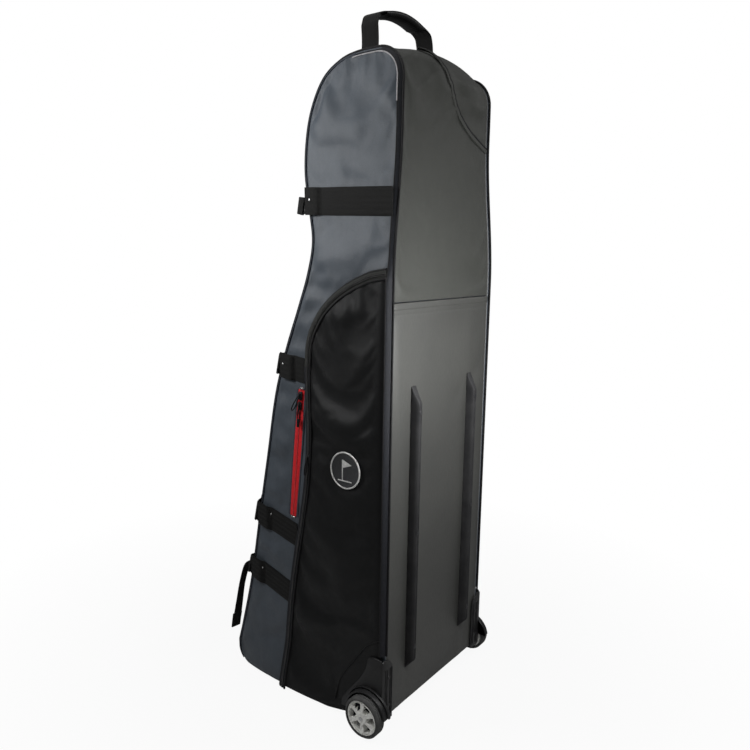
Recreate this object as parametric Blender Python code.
"""Golf travel case: a soft wheeled cover for a golf bag, with a domed hood, a front flap and side pockets.

Metres. +X is the owner's side with the red zip, +Y the back with the skid rails, +Z up.
The origin is at the centre of the bounding box's bottom face.
"""

from math import cos, pi, radians, sin

import bmesh
import bpy
from mathutils import Vector

# Driving dimensions -----------------------------------------------------------------------------
GAP = 0.0004
SEAM_GAP = 0.0010
CASE_HALF_WIDTH = 0.170
HOOD_HALF_WIDTH = 0.147
BACK_Y = 0.200
TOP_Z = 1.213
REAR_CROWN_RADIUS = 0.050
BACK_BOTTOM_Z = 0.030
BASE_FLAT_END_Y = 0.060
SEAM_Z = 0.800
NARROW_FROM_Z = 0.830
NARROW_TO_Z = 1.090
CROWN_START_Z = 1.120
PANEL_THICK = 0.006
SIDE_THICK = 0.008
CROWN_RISE = 0.022
HOOD_BULGE = 0.004
FRONT_RISE = 0.011

# The front edge of a side panel, from the top of the hood down to the base.
FRONT_EDGE = [
    (BACK_Y - REAR_CROWN_RADIUS, TOP_Z),
    (0.104, 1.2115),
    (0.069, 1.203),
    (0.033, 1.179),
    (0.007, 1.133),
    (-0.006, 1.080),
    (-0.006, 1.020),
    (0.010, 0.955),
    (0.021, 0.900),
    (0.012, 0.845),
    (-0.012, 0.780),
    (-0.045, 0.698),
    (-0.074, 0.607),
    (-0.098, 0.481),
    (-0.124, 0.347),
    (-0.150, 0.208),
    (-0.179, 0.094),
    (-0.193, 0.046),
]
BASE_CORNER_RADIUS = 0.034

# The front edge of a side pocket, from the base up to the back seam.
POCKET_EDGE = [
    (-0.055, 0.003),
    (-0.046, 0.106),
    (-0.037, 0.196),
    (-0.023, 0.286),
    (-0.006, 0.373),
    (0.007, 0.457),
    (0.012, 0.536),
    (0.011, 0.590),
    (0.009, 0.640),
    (0.009, 0.680),
    (0.016, 0.730),
    (0.045, 0.780),
    (0.092, 0.820),
    (0.150, 0.848),
    (0.192, 0.857),
]
POCKET_THICK = 0.006
POCKET_RISE = 0.009

WHEEL_RADIUS = 0.0395
WHEEL_Y = 0.174
TYRE_INNER_X = 0.1810
TYRE_WIDTH = 0.0235
HUB_RADIUS = 0.0335
FENDER_INNER_RADIUS = WHEEL_RADIUS + 0.0030
FENDER_OUTER_RADIUS = WHEEL_RADIUS + 0.0075
AXLE_RADIUS = 0.0040
PLATE_INNER_X = CASE_HALF_WIDTH + POCKET_THICK + GAP
PLATE_THICK = 0.003

RAIL_X = 0.097
RAIL_WIDTH = 0.014
RAIL_PROUD = 0.018
RAIL_BOTTOM_Z = 0.104
RAIL_TOP_Z = 0.650
RAIL_BOTTOM_RAMP = 0.019
RAIL_TOP_RAMP = 0.030
SCREW_RADIUS = 0.0035

PIPING_RADIUS = 0.0026
WEB_WIDTH = 0.048
BUCKLE_HALF_HEIGHT = 0.0225
FRONT_WEB_HALF = 0.0215
WEB_THICK = 0.0018
FLAP_BOTTOM_Z = 0.047
FLAP_TOP_Y = 0.062

HANDLE_Y = 0.087
HANDLE_LEG_X = 0.085
HANDLE_AXIS_Z = 1.242
HANDLE_TOP_Z = 1.308
HANDLE_SHOULDER_Z = HANDLE_AXIS_Z + 0.032

# How far along a strap the buckle's socket and plug reach, from the case's front edge forward.
SOCKET_REACH = (-0.024, -0.001)
SLOT_REACH = (-0.014, 0.0)
PLUG_REACH = (-0.0006, 0.0105)
PRONG_REACH = (-0.011, 0.0005)
STRAP_STANDOFF = 0.0070
TAIL_STANDOFF = 0.0127

# Where each compression strap starts on the side panel and the height where it meets the front edge.
STRAPS = [
    ("1", 0.197, 0.967, 0.972, 0.000),
    ("2", 0.002, 0.664, 0.671, 0.000),
    ("3", -0.026, 0.336, 0.359, 0.024),
    ("4", -0.046, 0.211, 0.238, 0.000),
]

ZIP_TOP = (-0.003, 0.628)
ZIP_BOTTOM = (-0.027, 0.372)
ZIP_WIDTH = 0.013
SLIDER_LENGTH = 0.016


# Materials --------------------------------------------------------------------------------------
def material(name, color, roughness, metallic=0.0):
    mat = bpy.data.materials.new(name)
    mat.use_nodes = True
    shader = mat.node_tree.nodes["Principled BSDF"]
    shader.inputs["Base Color"].default_value = (*color, 1.0)
    shader.inputs["Roughness"].default_value = roughness
    shader.inputs["Metallic"].default_value = metallic
    mat.diffuse_color = (*color, 1.0)
    return mat


for old in list(bpy.data.objects):
    bpy.data.objects.remove(old, do_unlink=True)

SLATE = material("slate_nylon", (0.105, 0.120, 0.145), 0.62)
OLIVE = material("olive_nylon", (0.070, 0.072, 0.062), 0.60)
VINYL = material("black_vinyl", (0.060, 0.060, 0.058), 0.42)
BLACK_NYLON = material("black_nylon", (0.018, 0.018, 0.020), 0.55)
BINDING = material("black_binding", (0.012, 0.012, 0.014), 0.60)
WEBBING = material("black_webbing", (0.022, 0.022, 0.022), 0.70)
PLASTIC = material("black_plastic", (0.020, 0.020, 0.021), 0.45)
RUBBER = material("tyre_rubber", (0.025, 0.025, 0.027), 0.75)
SILVER = material("silver_hub", (0.620, 0.620, 0.600), 0.32, 0.8)
STEEL = material("steel", (0.500, 0.500, 0.500), 0.35, 1.0)
RED = material("red_zip", (0.620, 0.030, 0.035), 0.55)
FOAM = material("grey_foam", (0.300, 0.300, 0.310), 0.90)
BOARD = material("stiff_board", (0.110, 0.110, 0.110), 0.60)
PATCH = material("woven_patch", (0.700, 0.700, 0.690), 0.75)


# Shape helpers ----------------------------------------------------------------------------------
def finish(mesh_data, name, mat, smooth_angle=35.0):
    """A new object from a bmesh, with its faces out and its soft edges smooth."""
    bmesh.ops.recalc_face_normals(mesh_data, faces=mesh_data.faces)
    mesh = bpy.data.meshes.new(name)
    mesh_data.to_mesh(mesh)
    mesh_data.free()
    mesh.materials.append(mat)
    mesh.shade_smooth()
    mesh.set_sharp_from_angle(angle=radians(smooth_angle))
    obj = bpy.data.objects.new(name, mesh)
    bpy.context.scene.collection.objects.link(obj)
    return obj


def slab(name, outer, inner, mat, smooth_angle=35.0):
    """A closed sheet between two grids of points with the same rows and columns."""
    data = bmesh.new()
    rows = len(outer)
    columns = len(outer[0])
    top = [[data.verts.new(p) for p in row] for row in outer]
    low = [[data.verts.new(p) for p in row] for row in inner]
    for i in range(rows - 1):
        for j in range(columns - 1):
            data.faces.new((top[i][j], top[i][j + 1], top[i + 1][j + 1], top[i + 1][j]))
            data.faces.new((low[i][j], low[i + 1][j], low[i + 1][j + 1], low[i][j + 1]))
    rim = [(0, j) for j in range(columns)]
    rim += [(i, columns - 1) for i in range(1, rows)]
    rim += [(rows - 1, j) for j in range(columns - 2, -1, -1)]
    rim += [(i, 0) for i in range(rows - 2, 0, -1)]
    for (a, b), (c, d) in zip(rim, rim[1:] + rim[:1]):
        data.faces.new((top[c][d], top[a][b], low[a][b], low[c][d]))
    return finish(data, name, mat, smooth_angle)


def prism(name, outline, low, high, mat, axis="X", bevel=0.0):
    """An outline extruded along an axis: (y, z) along X, (x, z) along Y or (x, y) along Z."""
    place = {
        "X": lambda a, b, c: (c, a, b),
        "Y": lambda a, b, c: (a, c, b),
        "Z": lambda a, b, c: (a, b, c),
    }[axis]
    data = bmesh.new()
    ends = [[data.verts.new(place(a, b, c)) for a, b in outline] for c in (low, high)]
    count = len(outline)
    data.faces.new(ends[0])
    data.faces.new(ends[1])
    for i in range(count):
        j = (i + 1) % count
        data.faces.new((ends[0][i], ends[0][j], ends[1][j], ends[1][i]))
    obj = finish(data, name, mat)
    if bevel:
        add_bevel(obj, bevel)
    return obj


def box(name, low, high, mat, bevel=0.0):
    outline = [(low[0], low[1]), (high[0], low[1]), (high[0], high[1]), (low[0], high[1])]
    return prism(name, outline, low[2], high[2], mat, "Z", bevel)


def add_bevel(obj, width):
    mod = obj.modifiers.new("bevel", "BEVEL")
    mod.width = width
    mod.segments = 1
    mod.limit_method = "ANGLE"
    mod.angle_limit = radians(40)


def circle(radius, count, start=0.0, end=2 * pi, centre=(0.0, 0.0)):
    """Points on an arc; a full circle leaves out the repeated end."""
    steps = count if end - start > 6.28 else count - 1
    turn = (end - start) / steps
    return [
        (centre[0] + radius * cos(start + turn * i), centre[1] + radius * sin(start + turn * i))
        for i in range(count)
    ]


def turned(name, profile, centre, count, mat):
    """A ring turned about an axis along X through centre: profile is a closed list of (x, radius)."""
    data = bmesh.new()
    rings = []
    for i in range(count):
        angle = 2 * pi * i / count
        y_dir = cos(angle)
        z_dir = sin(angle)
        rings.append(
            [data.verts.new((x, centre[0] + r * y_dir, centre[1] + r * z_dir)) for x, r in profile]
        )
    for ring, after in zip(rings, rings[1:] + rings[:1]):
        for j in range(len(profile)):
            k = (j + 1) % len(profile)
            data.faces.new((ring[j], ring[k], after[k], after[j]))
    return finish(data, name, mat)


def tube(name, points, radius, sides, mat):
    """A round tube through points, with filled ends."""
    curve = bpy.data.curves.new(name, "CURVE")
    curve.dimensions = "3D"
    curve.bevel_depth = radius
    curve.bevel_resolution = (sides - 4) // 2
    curve.use_fill_caps = True
    spline = curve.splines.new("POLY")
    spline.points.add(len(points) - 1)
    for point, place in zip(spline.points, points):
        point.co = (*place, 1.0)
    curve.materials.append(mat)
    obj = bpy.data.objects.new(name, curve)
    bpy.context.scene.collection.objects.link(obj)
    return obj


def boolean(obj, tool, operation):
    """Cut or join a tool object, which stays in the file as a hidden wire guide."""
    mod = obj.modifiers.new(operation.lower(), "BOOLEAN")
    mod.operation = operation
    mod.object = tool
    mod.solver = "EXACT"
    tool.hide_render = True
    tool.display_type = "WIRE"


def smooth_line(points, steps):
    """A Catmull-Rom curve through 2-D points, with a few steps between each pair."""
    line = [Vector(p) for p in points]
    line = [2 * line[0] - line[1]] + line + [2 * line[-1] - line[-2]]
    out = []
    for a, b, c, d in zip(line, line[1:], line[2:], line[3:]):
        for i in range(steps):
            t = i / steps
            out.append(
                0.5 * (2 * b + (c - a) * t + (2 * a - 5 * b + 4 * c - d) * t * t
                       + (3 * b - a - 3 * c + d) * t * t * t)
            )
    out.append(line[-2])
    return [(p.x, p.y) for p in out]


def at_height(line, z):
    """The y of a line of (y, z) points at a height."""
    for (y0, z0), (y1, z1) in zip(line, line[1:]):
        if min(z0, z1) <= z <= max(z0, z1) and z0 != z1:
            return y0 + (y1 - y0) * (z - z0) / (z1 - z0)
    nearest = min(line, key=lambda p: abs(p[1] - z))
    return nearest[0]


def spread(low, high, count):
    return [low + (high - low) * i / (count - 1) for i in range(count)]


# The case's outline -----------------------------------------------------------------------------
def half_width(z):
    """The case is full width up to the waist, and narrows to the hood."""
    if z <= NARROW_FROM_Z:
        return CASE_HALF_WIDTH
    t = min(1.0, (z - NARROW_FROM_Z) / (NARROW_TO_Z - NARROW_FROM_Z))
    ease = t * t * (3 - 2 * t)
    narrow = CASE_HALF_WIDTH + (HOOD_HALF_WIDTH - CASE_HALF_WIDTH) * ease
    if z > CROWN_START_Z:
        narrow -= 0.003 * ((z - CROWN_START_Z) / (TOP_Z - CROWN_START_Z)) ** 2
    return narrow


FRONT_LINE = smooth_line(FRONT_EDGE, 2)
CORNER_CENTRE = (FRONT_EDGE[-1][0] + BASE_CORNER_RADIUS, BASE_CORNER_RADIUS)
CORNER_LINE = circle(BASE_CORNER_RADIUS, 5, pi, 1.5 * pi, CORNER_CENTRE)
CROWN_CENTRE = (BACK_Y - REAR_CROWN_RADIUS, TOP_Z - REAR_CROWN_RADIUS)
CROWN_ARC = circle(REAR_CROWN_RADIUS, 7, 0.0, pi / 2, CROWN_CENTRE)


def front_y(z):
    if z >= FRONT_EDGE[-1][1]:
        return at_height(FRONT_LINE, z)
    return at_height([FRONT_EDGE[-1]] + CORNER_LINE, z)


def back_y(z):
    if z < BACK_BOTTOM_Z:
        return BASE_FLAT_END_Y + (BACK_Y - BASE_FLAT_END_Y) * z / BACK_BOTTOM_Z
    if z <= TOP_Z - REAR_CROWN_RADIUS:
        return BACK_Y
    rise = min(1.0, (z - TOP_Z + REAR_CROWN_RADIUS) / REAR_CROWN_RADIUS)
    return BACK_Y - REAR_CROWN_RADIUS + REAR_CROWN_RADIUS * (1 - rise * rise) ** 0.5


def hood_bulge(y, z):
    """The hood's side panels are padded and swell a little between their seams."""
    if z < 0.88 or z > TOP_Z:
        return 0.0
    across = (y - front_y(z)) / max(0.001, back_y(z) - front_y(z))
    across = min(1.0, max(0.0, across))
    return HOOD_BULGE * sin(pi * across) * sin(pi * (z - 0.88) / (TOP_Z - 0.88))


def side_x(y, z):
    return half_width(z) + hood_bulge(y, z)


# Fabric shell -----------------------------------------------------------------------------------
SIDE_ROWS = [0.0, 0.010, BACK_BOTTOM_Z, 0.046, 0.094, 0.208, 0.347, 0.481, 0.607, 0.698, 0.780]
SIDE_ROWS += [0.812, 0.845, 0.872, 0.900, 0.930, 0.955, 0.987, 1.020, 1.050, 1.080, 1.106, 1.133]
SIDE_ROWS += [1.156, 1.174, 1.188, 1.198, 1.205, 1.210, 1.2125]


def side_panel(name, side):
    outer = []
    inner = []
    for z in SIDE_ROWS:
        ys = spread(front_y(z), back_y(z), 6)
        outer.append([(side * side_x(y, z), y, z) for y in ys])
        inner.append([(side * (half_width(z) - SIDE_THICK), y, z) for y in ys])
    return slab(name, outer, inner, SLATE)


def outward(line, i):
    """The normal of a line of (y, z) points that runs up the back, over the top and down the front."""
    a = Vector(line[max(0, i - 1)])
    b = Vector(line[min(len(line) - 1, i + 1)])
    along = (b - a).normalized()
    return Vector((along.y, -along.x))


def gusset(name, line, rise, mat, thick=PANEL_THICK, columns=9, inset=0.0, depth=0.0, cuts=None):
    """A panel that spans the width between the side panels, along a line, swelling by rise(i).

    cuts gives, for a row where two panels meet, the direction in which both edges are cut.
    """
    outer = []
    inner = []
    for i, (y, z) in enumerate(line):
        normal = (cuts or {}).get(i) or outward(line, i)
        reach = half_width(z) - SIDE_THICK - SEAM_GAP - inset
        top_row = []
        low_row = []
        for v in spread(-1.0, 1.0, columns):
            lift = rise(i) * (1 - v * v) - depth
            top = Vector((y, z)) + normal * lift
            low = Vector((y, z)) + normal * (lift - thick)
            top_row.append((v * reach, top.x, top.y))
            low_row.append((v * reach, low.x, low.y))
        outer.append(top_row)
        inner.append(low_row)
    return slab(name, outer, inner, mat)


BACK_LINE_LOW = [(BACK_Y, BACK_BOTTOM_Z + GAP), (BACK_Y, 0.4), (BACK_Y, SEAM_Z - GAP)]
BACK_LINE_HIGH = [(BACK_Y, SEAM_Z + GAP)]
BACK_LINE_HIGH += [(BACK_Y, z) for z in SIDE_ROWS if SEAM_Z < z < CROWN_START_Z - 0.01]
BACK_LINE_HIGH += [(BACK_Y, CROWN_START_Z - GAP)]
SEAM_TOP_Z = next(
    z0 + (z1 - z0) * (y0 - FLAP_TOP_Y) / (y0 - y1)
    for (y0, z0), (y1, z1) in zip(FRONT_LINE, FRONT_LINE[1:])
    if y0 >= FLAP_TOP_Y > y1
)
SEAM_GAP_UP = Vector((0.55, 0.22)) * 0.001
OVER_LINE = [(BACK_Y, CROWN_START_Z + GAP)] + CROWN_ARC
OVER_LINE += [p for p in FRONT_LINE[1:] if p[0] > FLAP_TOP_Y + 0.008]
OVER_LINE.append((FLAP_TOP_Y + SEAM_GAP_UP.x, SEAM_TOP_Z + SEAM_GAP_UP.y))
FLAP_LINE = [(FLAP_TOP_Y, SEAM_TOP_Z)]
FLAP_LINE += [p for p in FRONT_LINE if p[0] < FLAP_TOP_Y - 0.008 and p[1] > FLAP_BOTTOM_Z + 0.004]
FLAP_LINE.append((front_y(FLAP_BOTTOM_Z + GAP), FLAP_BOTTOM_Z + GAP))
SEAM_NORMAL = Vector((-0.37, 0.93)).normalized()
LEVEL_CUT = Vector((-1.0, 0.0))


def eased(t):
    t = min(1.0, max(0.0, t))
    return t * t * (3 - 2 * t)


def front_rise(z):
    """The swell of the front and of the hood's front half."""
    low = min(1.0, (z - FLAP_BOTTOM_Z) / 0.05)
    body = FRONT_RISE * (0.15 + 0.85 * low)
    return body + (CROWN_RISE - FRONT_RISE) * eased((z - 1.10) / (TOP_Z - 1.10))


def crown_rise(line):
    """The hood swells most over its top and not at all where it meets the flat back."""
    def rise(i):
        y, z = line[i]
        if y < BACK_Y - REAR_CROWN_RADIUS:
            return front_rise(z)
        return CROWN_RISE * eased((z - CROWN_START_Z) / (TOP_Z - CROWN_START_Z))
    return rise


def flap_rise(i):
    return front_rise(FLAP_LINE[i][1])


def build_shell():
    side_panel("side_panel_right", 1)
    side_panel("side_panel_left", -1)
    gusset("back_panel_lower", BACK_LINE_LOW, lambda i: 0.0, VINYL, 0.0025, 5)
    gusset("back_board", BACK_LINE_LOW, lambda i: 0.0, BOARD, 0.003, 5, 0.004, 0.0025 + GAP)
    gusset("back_panel_upper", BACK_LINE_HIGH, lambda i: 0.0, OLIVE, PANEL_THICK, 5)
    last = len(OVER_LINE) - 1
    gusset("crown_panel", OVER_LINE, crown_rise(OVER_LINE), OLIVE, PANEL_THICK, cuts={last: SEAM_NORMAL})
    cuts = {0: SEAM_NORMAL, len(FLAP_LINE) - 1: LEVEL_CUT}
    gusset("front_flap", FLAP_LINE, flap_rise, SLATE, PANEL_THICK, cuts=cuts)
    foam_line = OVER_LINE[2:-1]
    gusset("crown_foam", foam_line, crown_rise(foam_line), FOAM, 0.014, 7, 0.006, PANEL_THICK + GAP)


def build_base():
    """The base panel turns up at the front to meet the flap, and its stiff board lies on it."""
    under = [(front_y(FLAP_BOTTOM_Z - GAP), FLAP_BOTTOM_Z - GAP)] + CORNER_LINE[1:]
    under += [(-0.05, 0.0), (BASE_FLAT_END_Y, 0.0), (BACK_Y - 0.008, 0.0283)]
    gusset("base_panel", under, lambda i: 0.0, BLACK_NYLON, 0.005, 5, cuts={0: LEVEL_CUT})
    reach = CASE_HALF_WIDTH - SIDE_THICK - 0.006
    front = CORNER_CENTRE[0] + 0.002
    board = [(front, 0.0054), (BASE_FLAT_END_Y - 0.004, 0.0054), (BASE_FLAT_END_Y - 0.004, 0.0094)]
    board.append((front, 0.0094))
    prism("base_board", board, -reach, reach, BOARD, "X")


def piping_line():
    """Around the side panel's edge, from above the wheel housing over the hood to the base."""
    line = [(BACK_Y, z) for z in (0.172, 0.5, 0.8, CROWN_START_Z)] + CROWN_ARC + FRONT_LINE[1:]
    return line + CORNER_LINE[1:3]


def build_piping():
    line = piping_line()
    for name, side in (("piping_right", 1), ("piping_left", -1)):
        points = []
        for i, (y, z) in enumerate(line):
            lift = outward(line, i) * (PIPING_RADIUS + GAP + 0.0002)
            x = side * (half_width(z) - PIPING_RADIUS - 0.0018)
            points.append((x, y + lift.x, z + lift.y))
        tube(name, points, PIPING_RADIUS, 6, BINDING)


# Pockets ----------------------------------------------------------------------------------------
POCKET_LINE = smooth_line(POCKET_EDGE, 2)
POCKET_BACK_Y = BACK_Y - 0.004


def pocket_x(y, z):
    """The pocket's face swells between its seams and lies flat under the wheel housing."""
    front = at_height(POCKET_LINE, z)
    across = min(1.0, max(0.0, (y - front) / max(0.001, POCKET_BACK_Y - front)))
    up = min(1.0, max(0.0, (z - 0.17) / (0.84 - 0.17)))
    return half_width(z) + POCKET_THICK + POCKET_RISE * sin(pi * across) * sin(pi * up) ** 0.7


def side_pocket(name, side):
    outer = []
    inner = []
    for _, z in POCKET_LINE:
        ys = spread(at_height(POCKET_LINE, z), min(POCKET_BACK_Y, back_y(z) - 0.002), 7)
        outer.append([(side * pocket_x(y, z), y, z) for y in ys])
        inner.append([(side * (half_width(z) + hood_bulge(y, z) + GAP), y, z) for y in ys])
    return slab(name, outer, inner, BLACK_NYLON)


def build_pockets():
    side_pocket("side_pocket_right", 1)
    side_pocket("side_pocket_left", -1)
    face = CASE_HALF_WIDTH + POCKET_THICK + POCKET_RISE + GAP
    prism("label_patch", circle(0.033, 28, centre=(0.118, 0.498)), face, face + 0.0012, PATCH, "X")


# Straps and buckles -----------------------------------------------------------------------------
FLAP_AXIS = Vector((front_y(FLAP_BOTTOM_Z), FLAP_BOTTOM_Z))


def strap_frame(z):
    """Where a strap meets the front edge, and the way its plug leaves as the flap swings open."""
    edge = Vector((front_y(z), z))
    arm = (edge - FLAP_AXIS).normalized()
    return edge, Vector((-arm.y, arm.x)), arm


def local_box(name, frame, forward, up, x, mat, bevel=0.0):
    """A box in a strap's frame: forward and up are (low, high) in the y-z plane."""
    edge, ahead, rise = frame
    corners = [(forward[0], up[0]), (forward[1], up[0]), (forward[1], up[1]), (forward[0], up[1])]
    outline = []
    for f, u in corners:
        place = edge + ahead * f + rise * u
        outline.append((place.x, place.y))
    return prism(name, outline, x[0], x[1], mat, "X", bevel)


def side_strap(name, side, start_y, start_z, end_z):
    end_y = front_y(end_z) + 0.003
    outer = []
    inner = []
    for t in spread(0.0, 1.0, 9):
        y = start_y + (end_y - start_y) * t
        z = start_z + (end_z - start_z) * t
        rows = [z - WEB_WIDTH / 2, z, z + WEB_WIDTH / 2]
        surface = [side_x(y, row) + GAP for row in rows]
        inner.append([(side * x, y, row) for x, row in zip(surface, rows)])
        outer.append([(side * (x + WEB_THICK), y, row) for x, row in zip(surface, rows)])
    return slab(name, outer, inner, WEBBING)


def buckle_faces(z):
    """The x range of a buckle, just outside the end of its side strap."""
    widest = max(side_x(front_y(z) + 0.016, z + up) for up in (-WEB_WIDTH / 2, 0.0, WEB_WIDTH / 2))
    inner = widest + WEB_THICK + 3 * GAP
    return inner, inner + 0.006


def side_range(side, low, high):
    return (side * low, side * high) if side > 0 else (side * high, side * low)


def buckle_socket(name, side, z):
    frame = strap_frame(z)
    low, high = buckle_faces(z)
    height = (-BUCKLE_HALF_HEIGHT, BUCKLE_HALF_HEIGHT)
    body = local_box(name, frame, SOCKET_REACH, height, side_range(side, low, high), PLASTIC)
    mouth = side_range(side, low + 0.0014, high - 0.0014)
    slot = local_box(name + "_slot", frame, SLOT_REACH, (-0.0135, 0.0135), mouth, PLASTIC)
    boolean(body, slot, "DIFFERENCE")
    return body


def flap_reach(edge, ahead, rise, v):
    """How far the swollen flap stands in front of a strap's plane, at v from -1 to 1 across."""
    reach = []
    for up in (-FRONT_WEB_HALF, 0.0, FRONT_WEB_HALF):
        place = edge + rise * up
        flap_y = front_y(place.y + 0.004) - 1.05 * FRONT_RISE * (1 - v * v)
        reach.append((flap_y - place.x) / ahead.x)
    return max(reach)


def strap_bow(edge, ahead, rise, v):
    """How far in front of the edge the webbing lies, clear of the piping and of the swollen flap."""
    clearance = 0.0020 + 0.0048 * v ** 4
    return max(STRAP_STANDOFF, flap_reach(edge, ahead, rise, v) + clearance)


def front_strap(name, z, slack):
    """The webbing across the flap, joined to the buckle plug at each end."""
    edge, ahead, rise = strap_frame(z)
    low, high = buckle_faces(z)
    reach = low + 0.001
    outer = []
    inner = []
    for v in spread(-1.0, 1.0, 17):
        bow = strap_bow(edge, ahead, rise, v) + slack * (1 - v ** 8)
        rows = [edge + ahead * bow + rise * u for u in (-FRONT_WEB_HALF, FRONT_WEB_HALF)]
        outer.append([(v * reach, p.x + ahead.x * WEB_THICK, p.y + ahead.y * WEB_THICK) for p in rows])
        inner.append([(v * reach, p.x, p.y) for p in rows])
    strap = slab(name, outer, inner, WEBBING)
    frame = (edge, ahead, rise)
    height = (-BUCKLE_HALF_HEIGHT, BUCKLE_HALF_HEIGHT)
    nose = max(PLUG_REACH[1], strap_bow(edge, ahead, rise, 1.0) + 0.0035)
    for side in (1, -1):
        x_range = side_range(side, low, high)
        plug = local_box(f"{name}_plug{side}", frame, (PLUG_REACH[0], nose), height, x_range, PLASTIC)
        boolean(strap, plug, "UNION")
        for up in (-0.012, 0.006):
            prong_x = side_range(side, low + 0.0021, high - 0.0021)
            prong = local_box(
                f"{name}_prong{side}{up}", frame, PRONG_REACH, (up, up + 0.006), prong_x, PLASTIC
            )
            boolean(strap, prong, "UNION")
    return strap


def build_straps():
    for number, start_y, start_z, end_z, slack in STRAPS:
        for word, side in (("right", 1), ("left", -1)):
            side_strap(f"side_strap_{number}_{word}", side, start_y, start_z, end_z)
            buckle_socket(f"buckle_socket_{number}_{word}", side, end_z)
        front_strap(f"front_strap_{number}", end_z, slack)


def tail_line():
    """The loose end of the lowest strap, out of its buckle and down."""
    edge, ahead, rise = strap_frame(STRAPS[3][3])
    start = edge + ahead * TAIL_STANDOFF
    route = [(start.x, start.y), (-0.178, 0.222), (-0.194, 0.178), (-0.206, 0.128), (-0.222, 0.062)]
    return smooth_line(route, 3)


def build_tail():
    line = tail_line()
    outer = []
    inner = []
    for i, (y, z) in enumerate(line):
        normal = outward(line[::-1], len(line) - 1 - i) * (0.5 * WEB_THICK)
        outer.append([(x, y + normal.x, z + normal.y) for x in (0.142, 0.167)])
        inner.append([(x, y - normal.x, z - normal.y) for x in (0.142, 0.167)])
    slab("strap_tail", outer, inner, WEBBING)


# Handle -----------------------------------------------------------------------------------------
def handle_arch(lift):
    """The handle's arch as (x, z), from leg to leg."""
    top = HANDLE_TOP_Z - lift
    half = [(HANDLE_LEG_X, HANDLE_SHOULDER_Z), (0.077, 0.5 * (HANDLE_SHOULDER_Z + top))]
    half += [(0.051, top - 0.0075), (0.026, top - 0.002)]
    return [(-x, z) for x, z in half] + [(0.0, top)] + half[::-1]


def build_handle():
    """A webbing leg at each end, whose rounded foot turns on the fold's axis, and a moulded grip."""
    arch = smooth_line(handle_arch(0.0008), 2)
    foot = HANDLE_AXIS_Z
    route = [(-HANDLE_LEG_X, foot)] + arch + [(HANDLE_LEG_X, foot)]
    outer = []
    inner = []
    for i, (x, z) in enumerate(route):
        normal = outward(route, i) * (-0.0012)
        outer.append([(x + normal.x, HANDLE_Y + w, z + normal.y) for w in (-0.0185, 0.0185)])
        inner.append([(x - normal.x, HANDLE_Y + w, z - normal.y) for w in (-0.0185, 0.0185)])
    web = slab("handle_webbing", outer, inner, WEBBING)
    for side in (1, -1):
        low = side * HANDLE_LEG_X - 0.0012
        disc = circle(0.0185, 17, centre=(HANDLE_Y, foot))
        boolean(web, prism(f"handle_foot{side}", disc, low, low + 0.0024, WEBBING, "X"), "UNION")
    grip_line = [p for p in arch if abs(p[0]) < 0.058]
    top_rows = []
    low_rows = []
    for i, (x, z) in enumerate(grip_line):
        normal = outward(grip_line, i)
        ys = [HANDLE_Y + w for w in (-0.0165, -0.008, 0.008, 0.0165)]
        depths = [0.0052, 0.0085, 0.0085, 0.0052]
        top_rows.append([(x + normal.x * 0.0017, y, z + normal.y * 0.0017) for y in ys])
        low_rows.append([(x + normal.x * d, y, z + normal.y * d) for y, d in zip(ys, depths)])
    slab("handle_grip", top_rows, low_rows, PLASTIC)


# Zips -------------------------------------------------------------------------------------------
def zip_frame():
    """The zip's middle line on the side panel: its top, its way down and its side."""
    top = Vector(ZIP_TOP)
    down = (Vector(ZIP_BOTTOM) - top).normalized()
    return top, down, Vector((-down.y, down.x))


def along_zip(start, down, beside, lengths, widths):
    corners = [(lengths[0], widths[0]), (lengths[1], widths[0]), (lengths[1], widths[1])]
    corners.append((lengths[0], widths[1]))
    places = [start + down * a + beside * b for a, b in corners]
    return [(p.x, p.y) for p in places]


def slider(name, start, down, beside, base_x, pull_length, side=1):
    """A zip slider with its pull hanging flat down from it."""
    half = SLIDER_LENGTH / 2
    body = along_zip(start, down, beside, (-half, half), (-0.0045, 0.0045))
    x_range = side_range(side, base_x, base_x + 0.0042)
    obj = prism(name, body, x_range[0], x_range[1], PLASTIC, "X", 0.0006)
    pull = along_zip(start, down, beside, (-0.004, pull_length), (-0.0028, 0.0028))
    pull_x = side_range(side, base_x + 0.0034, base_x + 0.0062)
    boolean(obj, prism(name + "_pull", pull, pull_x[0], pull_x[1], PLASTIC, "X"), "UNION")
    return obj


def build_zips():
    top, down, beside = zip_frame()
    length = (Vector(ZIP_BOTTOM) - top).length
    tape_x = CASE_HALF_WIDTH + GAP
    tape = along_zip(top, down, beside, (0.0, length), (-ZIP_WIDTH / 2, ZIP_WIDTH / 2))
    prism("red_zip_tape", tape, tape_x, tape_x + 0.0014, RED, "X")
    slider_x = tape_x + 0.0014 + GAP
    slider("red_zip_slider_upper", top + down * 0.012, down, beside, slider_x, 0.0075)
    slider("red_zip_slider_lower", top + down * 0.032, down, beside, slider_x, 0.040)
    pocket_start = Vector((at_height(POCKET_LINE, 0.500) + 0.010, 0.500))
    pocket_end = Vector((at_height(POCKET_LINE, 0.130) + 0.010, 0.130))
    way = (pocket_end - pocket_start).normalized()
    face = CASE_HALF_WIDTH + POCKET_THICK + 0.0024
    slider("pocket_zip_slider", pocket_start, way, Vector((-way.y, way.x)), face, 0.036)
    main_zip_slider()


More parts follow.
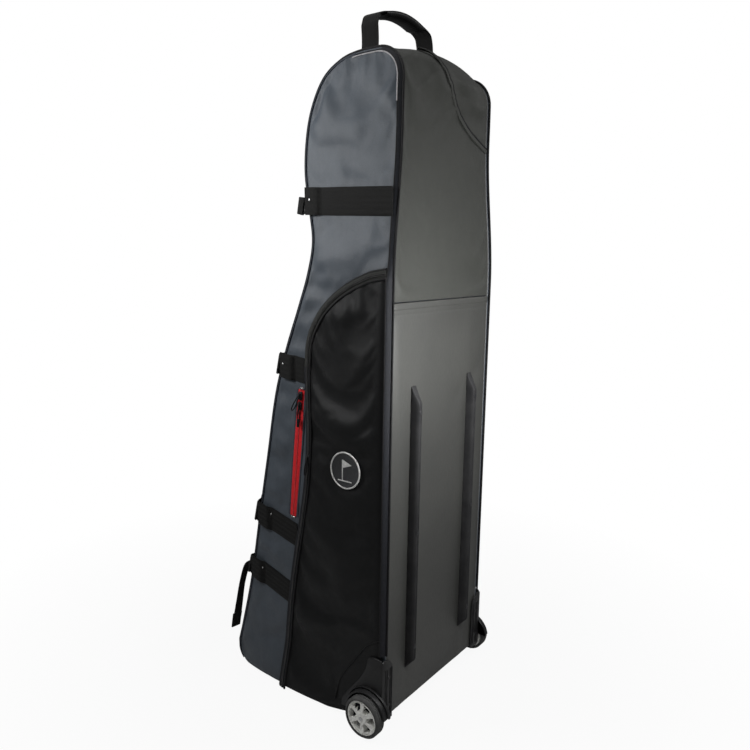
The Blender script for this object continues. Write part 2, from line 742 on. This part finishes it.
def main_zip_slider():
    """The flap's zip slider, on the front of the left edge."""
    start = Vector((front_y(0.590), 0.590))
    end = Vector((front_y(0.420), 0.420))
    down = (end - start).normalized()
    ahead = Vector((down.y, -down.x))
    if ahead.x > 0:
        ahead = -ahead
    middle_x = -(CASE_HALF_WIDTH - SIDE_THICK - 0.008)
    outline = []
    for a, b in ((-0.009, 0.0038), (0.009, 0.0038), (0.040, 0.0058), (0.040, 0.0078), (-0.009, 0.0078)):
        place = start + down * a + ahead * b
        outline.append((place.x, place.y))
    prism("main_zip_slider", outline, middle_x - 0.0045, middle_x + 0.0045, PLASTIC, "X")


# Rails, wheels and their housings ---------------------------------------------------------------
RAIL_SCREW_Z = (0.150, 0.377, 0.604)


def build_rails():
    for word, side in (("right", 1), ("left", -1)):
        low = side * RAIL_X - RAIL_WIDTH / 2
        outline = [
            (BACK_Y + GAP, RAIL_BOTTOM_Z),
            (BACK_Y + RAIL_PROUD, RAIL_BOTTOM_Z + RAIL_BOTTOM_RAMP),
            (BACK_Y + RAIL_PROUD, RAIL_TOP_Z - RAIL_TOP_RAMP),
            (BACK_Y + GAP, RAIL_TOP_Z),
        ]
        rail = prism(f"skid_rail_{word}", outline, low, low + RAIL_WIDTH, PLASTIC, "X", 0.0012)
        for number, z in enumerate(RAIL_SCREW_Z, 1):
            well = circle(SCREW_RADIUS + GAP, 12, centre=(side * RAIL_X, z))
            floor_y = BACK_Y + RAIL_PROUD - 0.006
            cut = prism(f"well_{word}_{number}", well, floor_y, BACK_Y + 0.03, PLASTIC, "Y")
            boolean(rail, cut, "DIFFERENCE")
            head = circle(SCREW_RADIUS, 12, centre=(side * RAIL_X, z))
            prism(f"rail_screw_{number}_{word}", head, floor_y + GAP, floor_y + 0.003, STEEL, "Y")


def housing_side_outline():
    """The side plate's front edge sweeps down and forward from its rounded top."""
    sweep = smooth_line([(0.169, 0.144), (0.164, 0.124), (0.150, 0.098), (0.113, 0.050), (0.106, 0.024)], 3)
    rear = BACK_Y + GAP + PLATE_THICK
    top = [(rear, 0.148), (BACK_Y - 0.002, 0.1525), (BACK_Y - 0.015, 0.1530), (0.176, 0.1505)]
    return sweep + [(rear, 0.024)] + top


def wheel_housing(name, side):
    """Side plate, back plate and the fender over the wheel, moulded in one."""
    x_low, x_high = side_range(side, PLATE_INNER_X, PLATE_INNER_X + PLATE_THICK)
    plate = prism(name, housing_side_outline(), x_low, x_high, PLASTIC, "X")
    back = [
        (side * (PLATE_INNER_X + PLATE_THICK), 0.024),
        (side * (PLATE_INNER_X + PLATE_THICK), 0.149),
        (side * 0.167, 0.150),
        (side * 0.154, 0.143),
        (side * 0.146, 0.128),
        (side * 0.146, 0.024),
    ]
    back_low = BACK_Y + GAP
    flange = prism(name + "_back", back, back_low, back_low + PLATE_THICK, PLASTIC, "Y")
    boolean(plate, flange, "UNION")
    arch = circle(FENDER_OUTER_RADIUS, 13, 0.06 * pi, 0.94 * pi, (WHEEL_Y, WHEEL_RADIUS))
    arch += circle(FENDER_INNER_RADIUS, 13, 0.06 * pi, 0.94 * pi, (WHEEL_Y, WHEEL_RADIUS))[::-1]
    fender_x = side_range(side, PLATE_INNER_X + 0.001, 0.1935)
    boolean(plate, prism(name + "_fender", arch, *fender_x, PLASTIC, "X"), "UNION")
    hole = circle(AXLE_RADIUS + GAP, 16, centre=(WHEEL_Y, WHEEL_RADIUS))
    hole_x = side_range(side, PLATE_INNER_X - 0.002, 0.2)
    boolean(plate, prism(name + "_hole", hole, *hole_x, PLASTIC, "X"), "DIFFERENCE")
    return plate


def wheel_hub(name, side):
    """A six-spoked hub: a dished disc with six windows and a bore."""
    low = TYRE_INNER_X + 0.002
    high = TYRE_INNER_X + TYRE_WIDTH - 0.001
    span = side_range(side, low, high)
    centre = (WHEEL_Y, WHEEL_RADIUS)
    hub = prism(name, circle(HUB_RADIUS, 30, centre=centre), *span, SILVER, "X")
    for i in range(6):
        middle = 2 * pi * i / 6 + pi / 6
        window = circle(HUB_RADIUS - 0.005, 5, middle - 0.36, middle + 0.36, centre)
        window += circle(0.0125, 3, middle - 0.30, middle + 0.30, centre)[::-1]
        cut_span = side_range(side, low - 0.01, high + 0.01)
        boolean(hub, prism(f"{name}_window{i}", window, *cut_span, SILVER, "X"), "DIFFERENCE")
    bore = circle(AXLE_RADIUS + 0.0003, 16, centre=centre)
    cut_span = side_range(side, low - 0.01, high + 0.01)
    boolean(hub, prism(f"{name}_bore", bore, *cut_span, SILVER, "X"), "DIFFERENCE")
    return hub


def build_wheels():
    centre = (WHEEL_Y, WHEEL_RADIUS)
    for word, side in (("right", 1), ("left", -1)):
        wheel_housing(f"wheel_housing_{word}", side)
        wheel_hub(f"wheel_hub_{word}", side)
        inner = TYRE_INNER_X
        outer = TYRE_INNER_X + TYRE_WIDTH
        rim = HUB_RADIUS + GAP
        section = [
            (side * inner, rim),
            (side * inner, WHEEL_RADIUS - 0.004),
            (side * (inner + 0.004), WHEEL_RADIUS),
            (side * (outer - 0.004), WHEEL_RADIUS),
            (side * outer, WHEEL_RADIUS - 0.004),
            (side * outer, rim),
        ]
        turned(f"tyre_{word}", section, centre, 36, RUBBER)
        shaft = circle(AXLE_RADIUS, 16, centre=centre)
        span = side_range(side, PLATE_INNER_X + 0.0002, outer + 0.0005)
        prism(f"axle_{word}", shaft, *span, STEEL, "X")


def build_inner_strap():
    """The belt that holds the golf bag lies flat on the inside of the back board."""
    inner_face = BACK_Y - 0.0025 - GAP - 0.003 - GAP
    low = (-0.130, inner_face - WEB_THICK, 0.530)
    box("inner_strap", low, (0.130, inner_face, 0.570), WEBBING)


build_shell()
build_base()
build_piping()
build_pockets()
build_straps()
build_tail()
build_handle()
build_zips()
build_rails()
build_wheels()
build_inner_strap()
